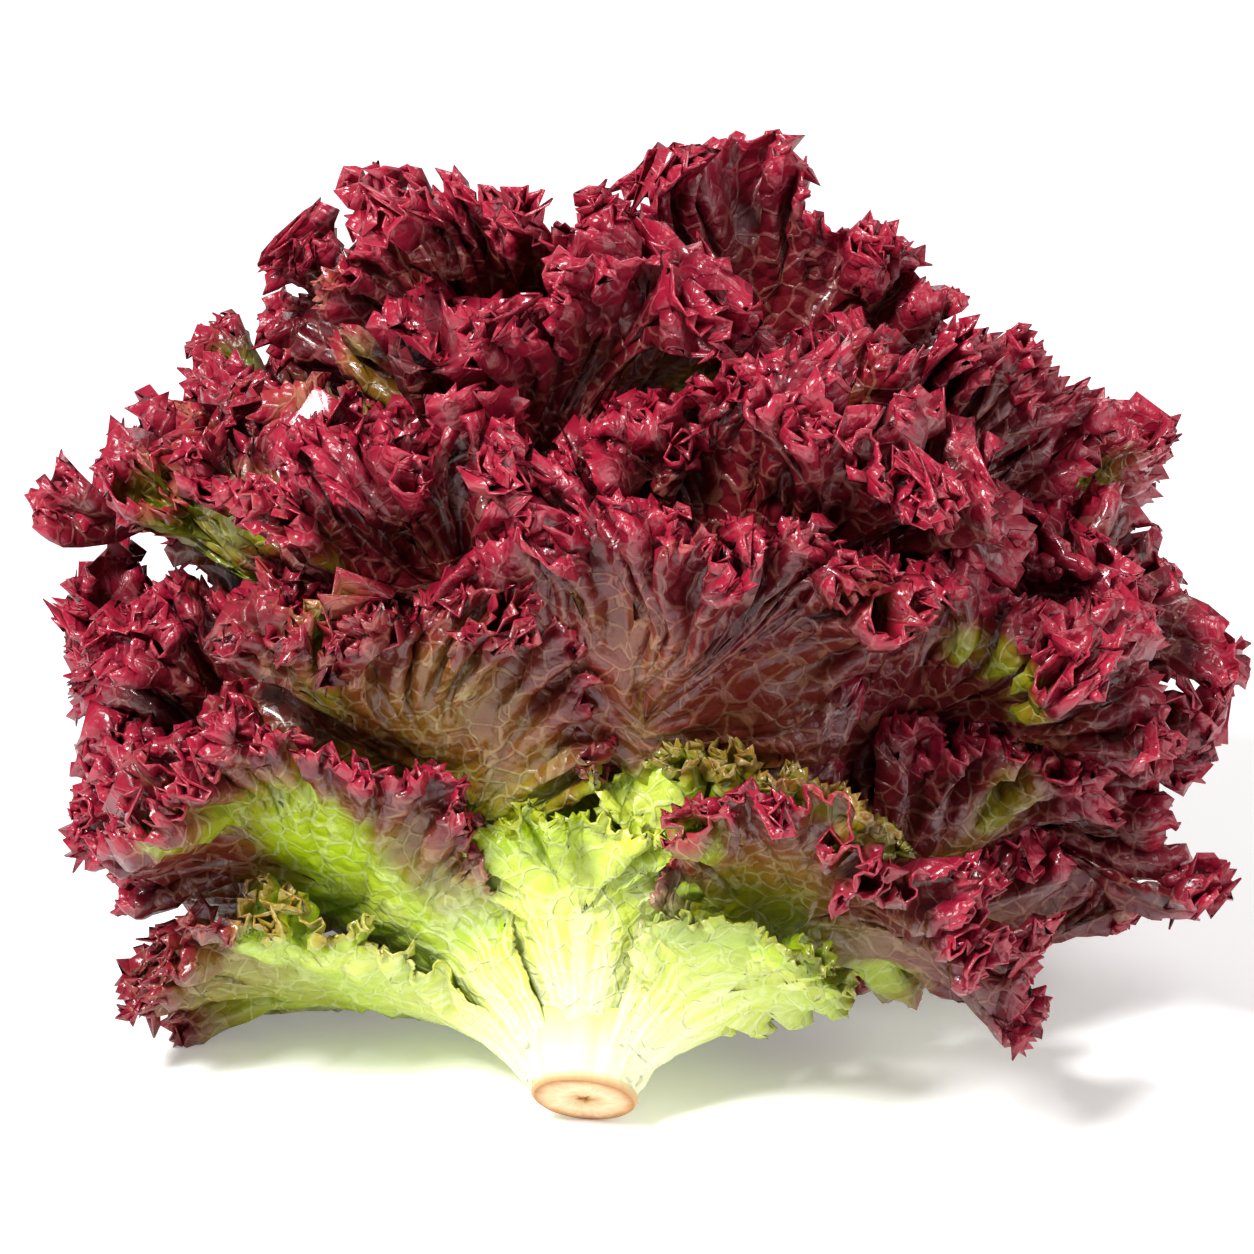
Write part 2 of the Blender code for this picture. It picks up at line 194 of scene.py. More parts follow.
stem_colour = add_node(cut_tissue, "Mix", {"data_type": "RGBA"}, {
    "Factor": on_skin.outputs["Value"], "A": fibre_colour.outputs["Result"],
    "B": skin_colour.outputs["Result"]})
roughened = add_node(cut_tissue, "Bump", {"Strength": 0.55, "Distance": 0.0004},
                     {"Height": fibre.outputs["Fac"]})
grained = add_node(cut_tissue, "Bump", {"Strength": 0.45, "Distance": 0.0003}, {
    "Height": mottle.outputs["Fac"], "Normal": roughened.outputs["Normal"]})
stem_surface = add_node(cut_tissue, "BsdfPrincipled", {
    "Roughness": 0.62, "IOR": 1.42, "Subsurface Weight": 0.12, "Subsurface Radius": (0.003, 0.002, 0.001)},
    {"Base Color": stem_colour.outputs["Result"], "Normal": grained.outputs["Normal"]})
add_node(cut_tissue, "OutputMaterial", {}, {"Surface": stem_surface.outputs["BSDF"]})

# Profile of the stem: across the slice, over its rim, up the side and to the tip of the core.
slice_radii = np.linspace(0.0004, CUT_RADIUS - CUT_CHAMFER, SLICE_RINGS)
side_heights = np.concatenate([
    [0.0002, 0.0004, CUT_CHAMFER], np.linspace(0.0009, COLLAR_TOP, 30),
    np.linspace(COLLAR_TOP + 0.002, CORE_LENGTH - 0.003, 6), [CORE_LENGTH]])
side_radii = np.interp(side_heights, STEM_HEIGHTS, STEM_RADII)
collar = np.interp(side_heights, [0.0, CUT_RIM_HEIGHT, 0.0026, COLLAR_HEIGHT, COLLAR_TOP, COLLAR_TOP + 0.002],
                   [0.0, 0.0, 0.0104, COLLAR_RADIUS - FOOT_BULGE, 0.0120, 0.0])
side_radii = np.maximum(side_radii, collar)
profile_heights = np.concatenate([np.zeros(SLICE_RINGS), side_heights])
profile_radii = np.concatenate([slice_radii, side_radii])
stem_angles = np.arange(STEM_SIDES) * 2.0 * math.pi / STEM_SIDES
stem_grid = turned(cut_centre, profile_heights, profile_radii, stem_angles)
stem_spread = np.repeat(profile_radii / CUT_RADIUS, STEM_SIDES).reshape(-1, STEM_SIDES)
on_slice = np.repeat(profile_heights < 1e-6, STEM_SIDES).reshape(-1, STEM_SIDES)
# The knife leaves the slice uneven by a quarter of a millimetre, and the dried pith is sunk a little:
# two sines round the slice, and depth * exp(-(spread / 0.22)^2) in its middle.
knife = 0.00010 * np.sin(9.0 * stem_angles + 14.0 * stem_spread)
knife = knife + 0.00014 * np.sin(4.0 * stem_angles - 9.0 * stem_spread)
knife = knife + 0.00035 * np.exp(-(stem_spread / 0.22) ** 2)
stem_grid = stem_grid + (on_slice * (1.0 - stem_spread ** 4) * knife)[..., None] * AXIS
# Up the side the feet of the first leaves stand out as fleshy ridges: bulge * exp(-(turn / spread)^2).
ridges = 0.00012 * np.sin(7.0 * stem_angles + 0.6) + 0.00010 * np.sin(31.0 * stem_angles + 2.0)
for foot_turn in FOOT_TURNS:
    off_ridge = (stem_angles - math.radians(foot_turn) + math.pi) % (2.0 * math.pi) - math.pi
    ridges = np.maximum(ridges, FOOT_BULGE * np.exp(-(off_ridge / FOOT_SPREAD) ** 2))
stem_away = stem_grid - (cut_centre + profile_heights[:, None, None] * AXIS)
stem_away = stem_away / np.maximum(np.linalg.norm(stem_away, axis=-1, keepdims=True), 1e-9)
ridge_share = np.interp(profile_heights, [0.0, CUT_RIM_HEIGHT, 0.0045, COLLAR_TOP - 0.001, COLLAR_TOP + 0.002],
                        [0.0, 0.15, 1.0, 1.0, 0.0])
ridge_share = ridge_share[:, None] * np.clip(stem_grid[..., 2] / 0.003, 0.0, 1.0)
stem_grid = stem_grid + stem_away * (ridges[None, :] * ridge_share)[..., None]
stem_ends = [stem_grid[:1].mean(axis=1), stem_grid[-1:].mean(axis=1)]
stem_points = np.concatenate([stem_grid.reshape(-1, 3)] + stem_ends)
stem_faces = grid_faces(len(profile_heights), STEM_SIDES)
ring = np.arange(STEM_SIDES)
after = (ring + 1) % STEM_SIDES
top = (len(profile_heights) - 1) * STEM_SIDES
slice_fan = np.stack([np.full(STEM_SIDES, len(stem_points) - 2), after, ring], axis=1)
tip_fan = np.stack([np.full(STEM_SIDES, len(stem_points) - 1), top + ring, top + after], axis=1)
stem_faces = np.concatenate([stem_faces, slice_fan, tip_fan])
stem_skin = np.repeat(np.interp(profile_heights, [0.0, 0.0035, 0.0160], [0.0, 0.5, 1.0]), STEM_SIDES)
stem_piece = add_piece("stem_cut_face", np.maximum(stem_points, [-9.0, -9.0, 0.0]), stem_faces, {
    "spread": np.concatenate([stem_spread.ravel(), [0.0, 0.3]]),
    "skin": np.concatenate([stem_skin, [0.0, 1.0]]),
    "turn": np.concatenate([np.tile(np.abs(stem_angles / math.pi - 1.0), len(profile_heights)), [0.0, 0.0]]),
}, cut_tissue)
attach(stem_piece, "root")
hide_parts("cut_stem")

# The leaves: 40 blades that follow each other round the stem by the golden angle, outermost first.
# Each lies on a layer of the head, a curve that leans out and curls at its tip, and its margin
# waves between the layers, so the leaves pack without cutting through each other. Sizes are those of
# the solids, except that the leaves' feet are wider and close up at the stem, as on the real one.
LEAF_COUNT = 40
LEAF_TURN = math.radians(137.508)
FIRST_LEAF_AZIMUTH = math.radians(-112.0)
AZIMUTH_SCATTER = math.radians(5.0)
SEED = 1000
HEAD_CENTRE_UP_AXIS = 0.111
HEAD_RADIUS_ACROSS = 0.129
HEAD_RADIUS_ALONG = 0.128
TIP_SCATTER = 0.04
FIRST_LEAF_HEIGHT = 0.0036
LEAF_HEIGHT_STEP = 0.00092
BASE_GAP = 0.0008
OUTER_BASE_LEAN = math.radians(42.0)
HEART_BASE_LEAN = math.radians(20.0)
OUTER_LEAN = math.radians(71.0)
HEART_LEAN = math.radians(6.0)
BEND_LENGTH = 0.040
OUTER_TIP_CURL = math.radians(118.0)
HEART_TIP_CURL = math.radians(66.0)
CURL_POWER = 2.6
OUTER_CURL_LENGTH = 0.142
HEART_CURL_LENGTH = 0.185
FULL_LEAN_LIMIT = math.radians(70.0)
TABLE_SLACK = math.radians(9.0)
PRESS_DEPTH = 0.0018
PRESS_HEIGHT = 0.00015
OUTER_HALF_WIDTH = 0.058
HEART_HALF_WIDTH = 0.048
WIDTH_SCATTER = 0.06
BASE_HALF_WIDTH = 0.0100
OUTER_BASE_HALF_ANGLE = 0.68
HEART_BASE_HALF_ANGLE = 0.46
BLADE_HALF_ANGLE = 0.90
RIB_SHARE = 0.56
WAVE_PITCH = 0.037
WAVE_START = 0.20
WIDE_SWING = 1.30
NARROW_SWING = 0.70
SWING_LIMIT = 0.20
FREE_HALF_ANGLE = math.radians(39.0)
# Leaves that the photograph shows singly: degrees turned round the stem, length and width against the
# usual leaf's, layers that it droops by, and the distances from the stem between which it droops.
SINGLE_LEAVES = {
    0: (4.0, 0.90, 1.20, 4.6, 0.010, 0.070),
    1: (34.0, 0.58, 0.62, 6.0, 0.010, 0.060),
    2: (0.0, 1.00, 0.90, 0.0, 0.070, 0.140),
    3: (-6.0, 1.12, 1.05, 0.0, 0.070, 0.140),
    4: (-10.0, 0.94, 1.14, 9.0, 0.040, 0.110),
    5: (-6.0, 1.00, 0.82, -1.0, 0.010, 0.060),
    6: (8.0, 0.50, 0.60, 0.0, 0.070, 0.140),
    7: (0.0, 0.92, 0.94, 0.0, 0.070, 0.140),
    8: (2.0, 1.02, 1.05, 0.0, 0.070, 0.140),
    9: (4.0, 0.66, 0.80, 0.0, 0.070, 0.140),
    11: (8.0, 0.95, 0.90, 0.0, 0.070, 0.140),
    15: (0.0, 1.00, 0.86, 0.0, 0.070, 0.140),
    18: (0.0, 1.00, 0.80, 0.0, 0.070, 0.140),
    21: (0.0, 1.08, 0.90, 0.0, 0.070, 0.140),
    24: (0.0, 0.96, 1.00, 0.0, 0.070, 0.140),
    29: (0.0, 0.99, 1.00, 0.0, 0.070, 0.140),
    30: (0.0, 0.98, 1.00, 0.0, 0.070, 0.140),
    32: (14.0, 1.07, 0.86, 0.0, 0.070, 0.140),
    34: (0.0, 1.08, 0.92, 0.0, 0.070, 0.140),
    35: (0.0, 0.99, 0.90, 0.0, 0.070, 0.140),
    37: (0.0, 0.935, 0.88, 0.0, 0.070, 0.140),
    38: (0.0, 0.78, 0.84, 0.0, 0.070, 0.140),
    39: (0.0, 0.95, 0.76, 1.3, 0.070, 0.140),
}
USUAL_LEAF = (0.0, 1.0, 1.0, 0.0, 0.070, 0.140)
# Twelve Gauss points and weights on 0 to 1 add up a layer's curve.
STEPS, SHARES = np.polynomial.legendre.leggauss(12)
STEPS, SHARES = (STEPS + 1.0) / 2.0, SHARES / 2.0


def blend(value, start, end):
    """Smooth step from 0 at start to 1 at end."""
    part = np.clip((value - start) / (end - start), 0.0, 1.0)
    return part * part * (3.0 - 2.0 * part)


def between(share, first, last):
    """Straight change from first to last as share runs from 0 to 1."""
    return first + share * (last - first)


def table_angle(azimuth):
    """Angle from the axis down to the table, seen from the cut."""
    return np.arctan2(RISE_SIN, -RISE_COS * np.cos(azimuth))


def lean(layer, azimuth, reach):
    """Angle between the axis and a layer: base lean, then full lean by tanh(distance / bend), then tip
    curl by (distance / curl length) ^ 2.6, each cut down to what the table leaves free at that azimuth."""
    power = 7.0
    limit = table_angle(azimuth) + TABLE_SLACK
    room = (limit ** -power + FULL_LEAN_LIMIT ** -power) ** (-1.0 / power)
    room = room / ((math.pi - AXIS_RISE) ** -power + FULL_LEAN_LIMIT ** -power) ** (-1.0 / power)
    curl_room = 0.08 + 0.92 * blend(table_angle(azimuth), AXIS_RISE, AXIS_RISE + math.radians(58.0))
    share = layer / (LEAF_COUNT - 1.0)
    full = np.arccos(between(share, math.cos(OUTER_LEAN), math.cos(HEART_LEAN)).clip(-1.0, 0.9999))
    base = between(share, OUTER_BASE_LEAN, HEART_BASE_LEAN)
    body = base + (full - base) * np.tanh(reach / BEND_LENGTH)
    curl = between(share, OUTER_TIP_CURL, HEART_TIP_CURL)
    curl = curl * (reach / between(share, OUTER_CURL_LENGTH, HEART_CURL_LENGTH)) ** CURL_POWER
    return body * room + curl * curl_room


def layer_curve(layer, azimuth, reach):
    """Distance from the axis and height along it: the sums of sin(lean) and cos(lean) along the layer."""
    height = FIRST_LEAF_HEIGHT + LEAF_HEIGHT_STEP * layer
    out = np.interp(height, [0.0, CUT_RIM_HEIGHT, NECK_START, NECK_END, CORE_LENGTH],
                    [CUT_RADIUS, CUT_RADIUS, NECK_RADIUS, NECK_RADIUS, CORE_TIP_RADIUS]) + BASE_GAP
    up = height
    for step, share in zip(STEPS, SHARES):
        angle = lean(layer, azimuth, reach * step)
        out = out + share * reach * np.sin(angle)
        up = up + share * reach * np.cos(angle)
    return out, up


def place_on_layer(layer, azimuth, reach):
    """Point of a layer, pressed softly onto the table: press * ln(1 + e^(z / press))."""
    out, up = layer_curve(layer, azimuth, reach)
    away = np.cos(azimuth)[..., None] * FRONT + np.sin(azimuth)[..., None] * SIDE
    point = cut_centre + up[..., None] * AXIS + out[..., None] * away
    point[..., 2] = PRESS_HEIGHT + PRESS_DEPTH * np.logaddexp(0.0, (point[..., 2] - PRESS_HEIGHT) / PRESS_DEPTH)
    return point


def make_wobble(rng, waves):
    """Seeded slow noise along the margin: frequencies, phases and sizes of five sines."""
    return waves * (0.5 + rng.random(5)), rng.random(5) * 2.0 * math.pi, 0.35 + 0.3 * rng.random(5)


def wobble(noise, along):
    """Value of the noise at a share of the margin, about -1 to 1."""
    total = 0.0
    for frequency, phase, size in zip(*noise):
        total = total + size * np.sin(2.0 * math.pi * frequency * along + phase)
    return total / 1.2


def plan_leaf(number):
    """Draw the sizes of one leaf: its tip lies on the head's flattened ball."""
    share = number / (LEAF_COUNT - 1.0)
    rng = np.random.default_rng(SEED + number)
    draw = rng.uniform(-1.0, 1.0, 6)
    turn, longer, wider, droop, droop_start, droop_end = SINGLE_LEAVES.get(number, USUAL_LEAF)
    azimuth = FIRST_LEAF_AZIMUTH + number * LEAF_TURN + AZIMUTH_SCATTER * draw[0] + math.radians(turn)
    reaches = np.linspace(0.05, 0.20, 151)
    out, up = layer_curve(np.full(151, float(number)), np.full(151, azimuth), reaches)
    radius = HEAD_RADIUS_ACROSS * (1.0 + TIP_SCATTER * draw[1])
    along = (up - HEAD_CENTRE_UP_AXIS) * HEAD_RADIUS_ACROSS / HEAD_RADIUS_ALONG
    length = reaches[np.nonzero(np.hypot(out, along) < radius)[0][-1]] * longer
    here = np.array([float(number)])
    there = np.array([azimuth])
    middle = float(layer_curve(here, there, np.array([0.7 * length]))[0][0])
    half_width = between(share, OUTER_HALF_WIDTH, HEART_HALF_WIDTH) * (1.0 + WIDTH_SCATTER * draw[2])
    half_width = min(half_width * wider, 1.08 * middle)
    tip = np.array([length])
    gap = float(np.linalg.norm(place_on_layer(here + 1.0, there, tip) - place_on_layer(here, there, tip)))
    widest_swing = WIDE_SWING if half_width / middle < FREE_HALF_ANGLE else NARROW_SWING
    waves = max(6, int(round(2.2 * (length + half_width) / WAVE_PITCH)))
    return {
        "number": number, "azimuth": azimuth, "length": length, "half_width": half_width,
        "droop": (droop, droop_start, droop_end), "swing": min(widest_swing, SWING_LIMIT * half_width / gap),
        "waves": waves, "phase": make_wobble(rng, waves * 0.35), "size": make_wobble(rng, waves * 0.3),
        "lobe": make_wobble(rng, waves * 0.5), "start": rng.random() * 2.0 * math.pi, "gap": gap,
    }


def margin(leaf, angle):
    """Flat outline: x = w * sin(a) * u^0.75 widened at the base, y = length * u, u = (1 + cos a) / 2,
    held under the share of the turn round the axis that a leaf may take."""
    rise = (1.0 + np.cos(angle)) / 2.0
    across = leaf["half_width"] * np.sin(np.abs(angle)) * rise ** 0.75 / 0.69
    across = across + BASE_HALF_WIDTH * (1.0 - rise)
    reach = leaf["length"] * rise
    number = float(leaf["number"])
    out = layer_curve(np.full_like(reach, number), np.full_like(reach, leaf["azimuth"]), reach)[0]
    base = between(number / (LEAF_COUNT - 1.0), OUTER_BASE_HALF_ANGLE, HEART_BASE_HALF_ANGLE)
    widest = out * between(blend(reach, 0.01, 0.08), base, BLADE_HALF_ANGLE)
    across = across * (1.0 + (across / widest) ** 4) ** -0.25
    return np.sign(angle) * across, reach


def leaf_sheet(leaf, inward, along):
    """The leaf with only its large waves, and the same leaf calm, over a grid: inward runs from the rib
    to the margin, along runs round the margin. Also the distance along the leaf and the blade's width."""
    angles = np.linspace(-math.pi, math.pi, 2001)
    edge_x, edge_y = margin(leaf, angles)
    run = np.concatenate([[0.0], np.cumsum(np.hypot(np.diff(edge_x), np.diff(edge_y)))])
    edge_x, edge_y = margin(leaf, np.interp(along, run / run[-1], angles))
    rib_y = edge_y * (1.0 - (1.0 - RIB_SHARE) * (edge_y / leaf["length"]) ** 0.6)
    width = np.hypot(edge_x, edge_y - rib_y)
    wave = 2.0 * math.pi * leaf["waves"] * along + leaf["start"] + 1.1 * wobble(leaf["phase"], along)
    size = np.clip(0.85 + 0.2 * wobble(leaf["size"], along), 0.6, 1.0)
    ramp = np.clip((inward - WAVE_START) / (1.0 - WAVE_START), 0.0, 1.0) ** 1.2 * blend(width, 0.006, 0.030)
    lobes = 1.0 + ramp * (0.10 * np.sin(wave) ** 2 - 0.06 + 0.05 * wobble(leaf["lobe"], along))
    reach = np.maximum(rib_y + inward * lobes * (edge_y - rib_y), 0.0)
    number = float(leaf["number"])
    out = layer_curve(np.full_like(reach, number), np.full_like(reach, leaf["azimuth"]), reach)[0]
    azimuth = leaf["azimuth"] + inward * edge_x * lobes / out
    droop, droop_start, droop_end = leaf["droop"]
    layer = number - droop * blend(reach, droop_start, droop_end)
    calm = place_on_layer(layer, azimuth, reach)
    waved = place_on_layer(layer + leaf["swing"] * size * ramp * np.sin(wave), azimuth, reach)
    return waved, calm, reach, width


def directions(sheet):
    """Unit directions on a grid of points: along the margin, towards the margin, and off the outer face."""
    along = np.gradient(sheet, axis=1)
    along = along / np.maximum(np.linalg.norm(along, axis=-1, keepdims=True), 1e-9)
    outward = np.gradient(sheet, axis=0)
    outward = outward - (outward * along).sum(axis=-1, keepdims=True) * along
    outward = outward / np.maximum(np.linalg.norm(outward, axis=-1, keepdims=True), 1e-9)
    return along, outward, np.cross(along, outward)


def margin_run(sheet):
    """Share of the margin's own length at each column, and that length in metres."""
    steps = np.linalg.norm(np.diff(sheet[-1], axis=0), axis=1)
    run = np.concatenate([[0.0], np.cumsum(steps)])
    return run / run[-1], run[-1]


def roll_back(sheet, turn):
    """Bends the margin back over the outer face: every step from one row to the next is turned about
    the margin's direction by that row's angle, and the turned steps are added up from the rib."""
    along = directions(sheet)[0][1:]
    steps = np.diff(sheet, axis=0)
    cosine, sine = np.cos(turn[1:])[..., None], np.sin(turn[1:])[..., None]
    on_axis = (steps * along).sum(axis=-1, keepdims=True) * along
    turned_steps = steps * cosine + np.cross(steps, along) * sine + on_axis * (1.0 - cosine)
    return np.concatenate([sheet[:1], sheet[:1] + np.cumsum(turned_steps, axis=0)])


def frill(sheet, grow, rng, pitch, height, overhang):
    """Adds one rank of frills, as a meander: height * sin(phase) off the face and, to make the folds
    overhang, overhang * sin(2 * phase) back along the margin, both times grow, 0 inside to 1 at the margin."""
    share, length = margin_run(sheet)
    count = max(4, round(length / pitch))
    slow = make_wobble(rng, count * 0.35)
    large = make_wobble(rng, count * 0.45)
    phase = 2.0 * math.pi * (count * share + rng.random()) + 2.0 * wobble(slow, share)
    size = np.clip(1.0 + 0.35 * wobble(large, share), 0.45, 1.6)
    grow = grow * size[None, :]
    along, outward, off = directions(sheet)
    sheet = sheet + off * (height * grow * np.sin(phase)[None, :])[..., None]
    return sheet - along * (overhang * grow * np.sin(2.0 * phase)[None, :])[..., None], phase


# A leaf's mesh has few columns near the rib and doubles them four times towards the frilled margin.
ROWS = [(0.0, 16), (0.18, 16), (0.34, 16), (0.47, 8), (0.58, 8), (0.67, 8), (0.74, 4), (0.80, 4), (0.85, 4),
        (0.89, 2), (0.925, 2), (0.962, 1), (1.0, 1)]


def row_numbers(columns):
    """Columns that each row keeps, and the number of every vertex, row by row; the two halves of the
    rib's row are the same line, so they share their vertices."""
    kept, numbers, total = [], [], 0
    for inward, stride in ROWS:
        take = np.arange(0, columns + 1, stride)
        line = np.arange(len(take))
        if inward == 0.0:
            line = np.minimum(line, len(take) - 1 - line)
            take = take[: line.max() + 1]
        kept.append(take)
        numbers.append(line + total)
        total += len(take)
    return kept, numbers


def leaf_triangles(numbers):
    """Triangles between neighbouring rows, three a step where the columns double."""
    faces = []
    for low, high in zip(numbers[:-1], numbers[1:]):
        if len(high) == len(low):
            faces.append(np.stack([low[:-1], low[1:], high[1:]], axis=1))
            faces.append(np.stack([low[:-1], high[1:], high[:-1]], axis=1))
        else:
            faces.append(np.stack([low[:-1], low[1:], high[1::2]], axis=1))
            faces.append(np.stack([low[:-1], high[1::2], high[:-1:2]], axis=1))
            faces.append(np.stack([low[1:], high[2::2], high[1::2]], axis=1))
    faces = np.concatenate(faces)
    same = (faces[:, 0] == faces[:, 1]) | (faces[:, 1] == faces[:, 2]) | (faces[:, 0] == faces[:, 2])
    return faces[~same]


def smooth_normals(points, faces):
    """Unit normals at the points: the area-weighted mean of the triangles round each."""
    corners = points[faces]
    normals = np.cross(corners[:, 1] - corners[:, 0], corners[:, 2] - corners[:, 0])
    total = np.zeros_like(points)
    for corner in range(3):
        for axis in range(3):
            total[:, axis] += np.bincount(faces[:, corner], normals[:, axis], len(points))
    return total / np.maximum(np.linalg.norm(total, axis=1, keepdims=True), 1e-12)


# What the photograph shows of single leaves: how red and how frilled each is, and by how many
# degrees its margin is rolled back.
LEAF_LOOKS = {
    0: {"red": 0.55, "frill": 1.10, "roll": 12.0},
    1: {"red": 0.16, "frill": 0.85, "roll": 20.0},
    3: {"red": 0.92, "frill": 0.95, "roll": 45.0},
    4: {"red": 1.05, "frill": 0.90, "roll": 30.0},
    6: {"red": 0.14, "frill": 0.80, "roll": 30.0},
    9: {"red": 0.20, "frill": 0.90, "roll": 30.0},
    11: {"red": 0.66, "frill": 1.00, "roll": 50.0},
    32: {"red": 1.0, "frill": 0.90, "roll": 15.0},
    35: {"red": 1.0, "frill": 0.90, "roll": 25.0},
}
USUAL_ROLL = 80.0
HEART_ROLL = 45.0
FIRST_HEART_LEAF = 30
COLUMN_STEP = 0.00143
MOST_COLUMNS = 1760
BLADE_THICKNESS = 0.00045
RIB_FLESH = 0.0022
BEND_SIZE = 0.0030
BLISTER_HEIGHT = 0.0020
CUP_PITCH, CUP_HEIGHT, CUP_BAND, CUP_OVERHANG = 0.0150, 0.0074, 0.036, 0.0018
FLARE_TURN, FLARE_BAND = math.radians(62.0), 0.0055
RIPPLE_PITCH, RIPPLE_HEIGHT, RIPPLE_BAND, RIPPLE_OVERHANG = 0.0074, 0.0024, 0.0110, 0.0006
TOOTH_LENGTH, TOOTH_NOTCH = 0.0019, 0.0004
RED_BAND = 0.0085
BOX_SLACK = 0.018
TABLE_SOFTNESS = 0.0006
box_low = np.array(cad_box[0])
box_high = np.array(cad_box[1])


def frilled_sheet(leaf, look, along):
    """The leaf's middle surface with all its ranks of frills, over a grid of columns at the given shares
    of the margin: waves, the margin rolled back, cups, their flared mouths, then ripples."""
    rng = np.random.default_rng(SEED * 2 + leaf["number"])
    frilled = look.get("frill", 1.0)
    inward = np.array([row[0] for row in ROWS])[:, None] * np.ones((1, len(along)))
    along = along[None, :] * np.ones((len(ROWS), 1))
    sheet, calm, reach, width = leaf_sheet(leaf, inward, along)
    from_margin = (1.0 - inward) * width
    room = blend(width, 0.006, 0.026) * between(blend(reach, 0.012, 0.075), 0.22, 1.0)
    rolled = np.clip(0.85 + 0.70 * wobble(make_wobble(rng, 8.0), along), 0.1, 1.6)
    usual_roll = USUAL_ROLL if leaf["number"] < FIRST_HEART_LEAF else HEART_ROLL
    turn = math.radians(look.get("roll", usual_roll)) * np.clip((inward - 0.40) / 0.60, 0.0, 1.0) ** 1.4
    sheet = roll_back(sheet, turn * rolled * blend(width, 0.010, 0.034))
    grow = np.clip(1.0 - from_margin / CUP_BAND, 0.0, 1.0) ** 1.2 * room
    sheet, cups = frill(sheet, grow, rng, CUP_PITCH, CUP_HEIGHT * frilled, CUP_OVERHANG * frilled)
    flare = FLARE_TURN * np.sin(cups)[None, :] * np.clip(1.6 * (1.0 - from_margin / FLARE_BAND), 0.0, 1.0)
    sheet = roll_back(sheet, flare * room * frilled)
    grow = np.clip(1.0 - from_margin / RIPPLE_BAND, 0.0, 1.0) * room
    sheet, _ = frill(sheet, grow, rng, RIPPLE_PITCH, RIPPLE_HEIGHT * frilled, RIPPLE_OVERHANG * frilled)
    return sheet, calm, reach, width, inward, along, room


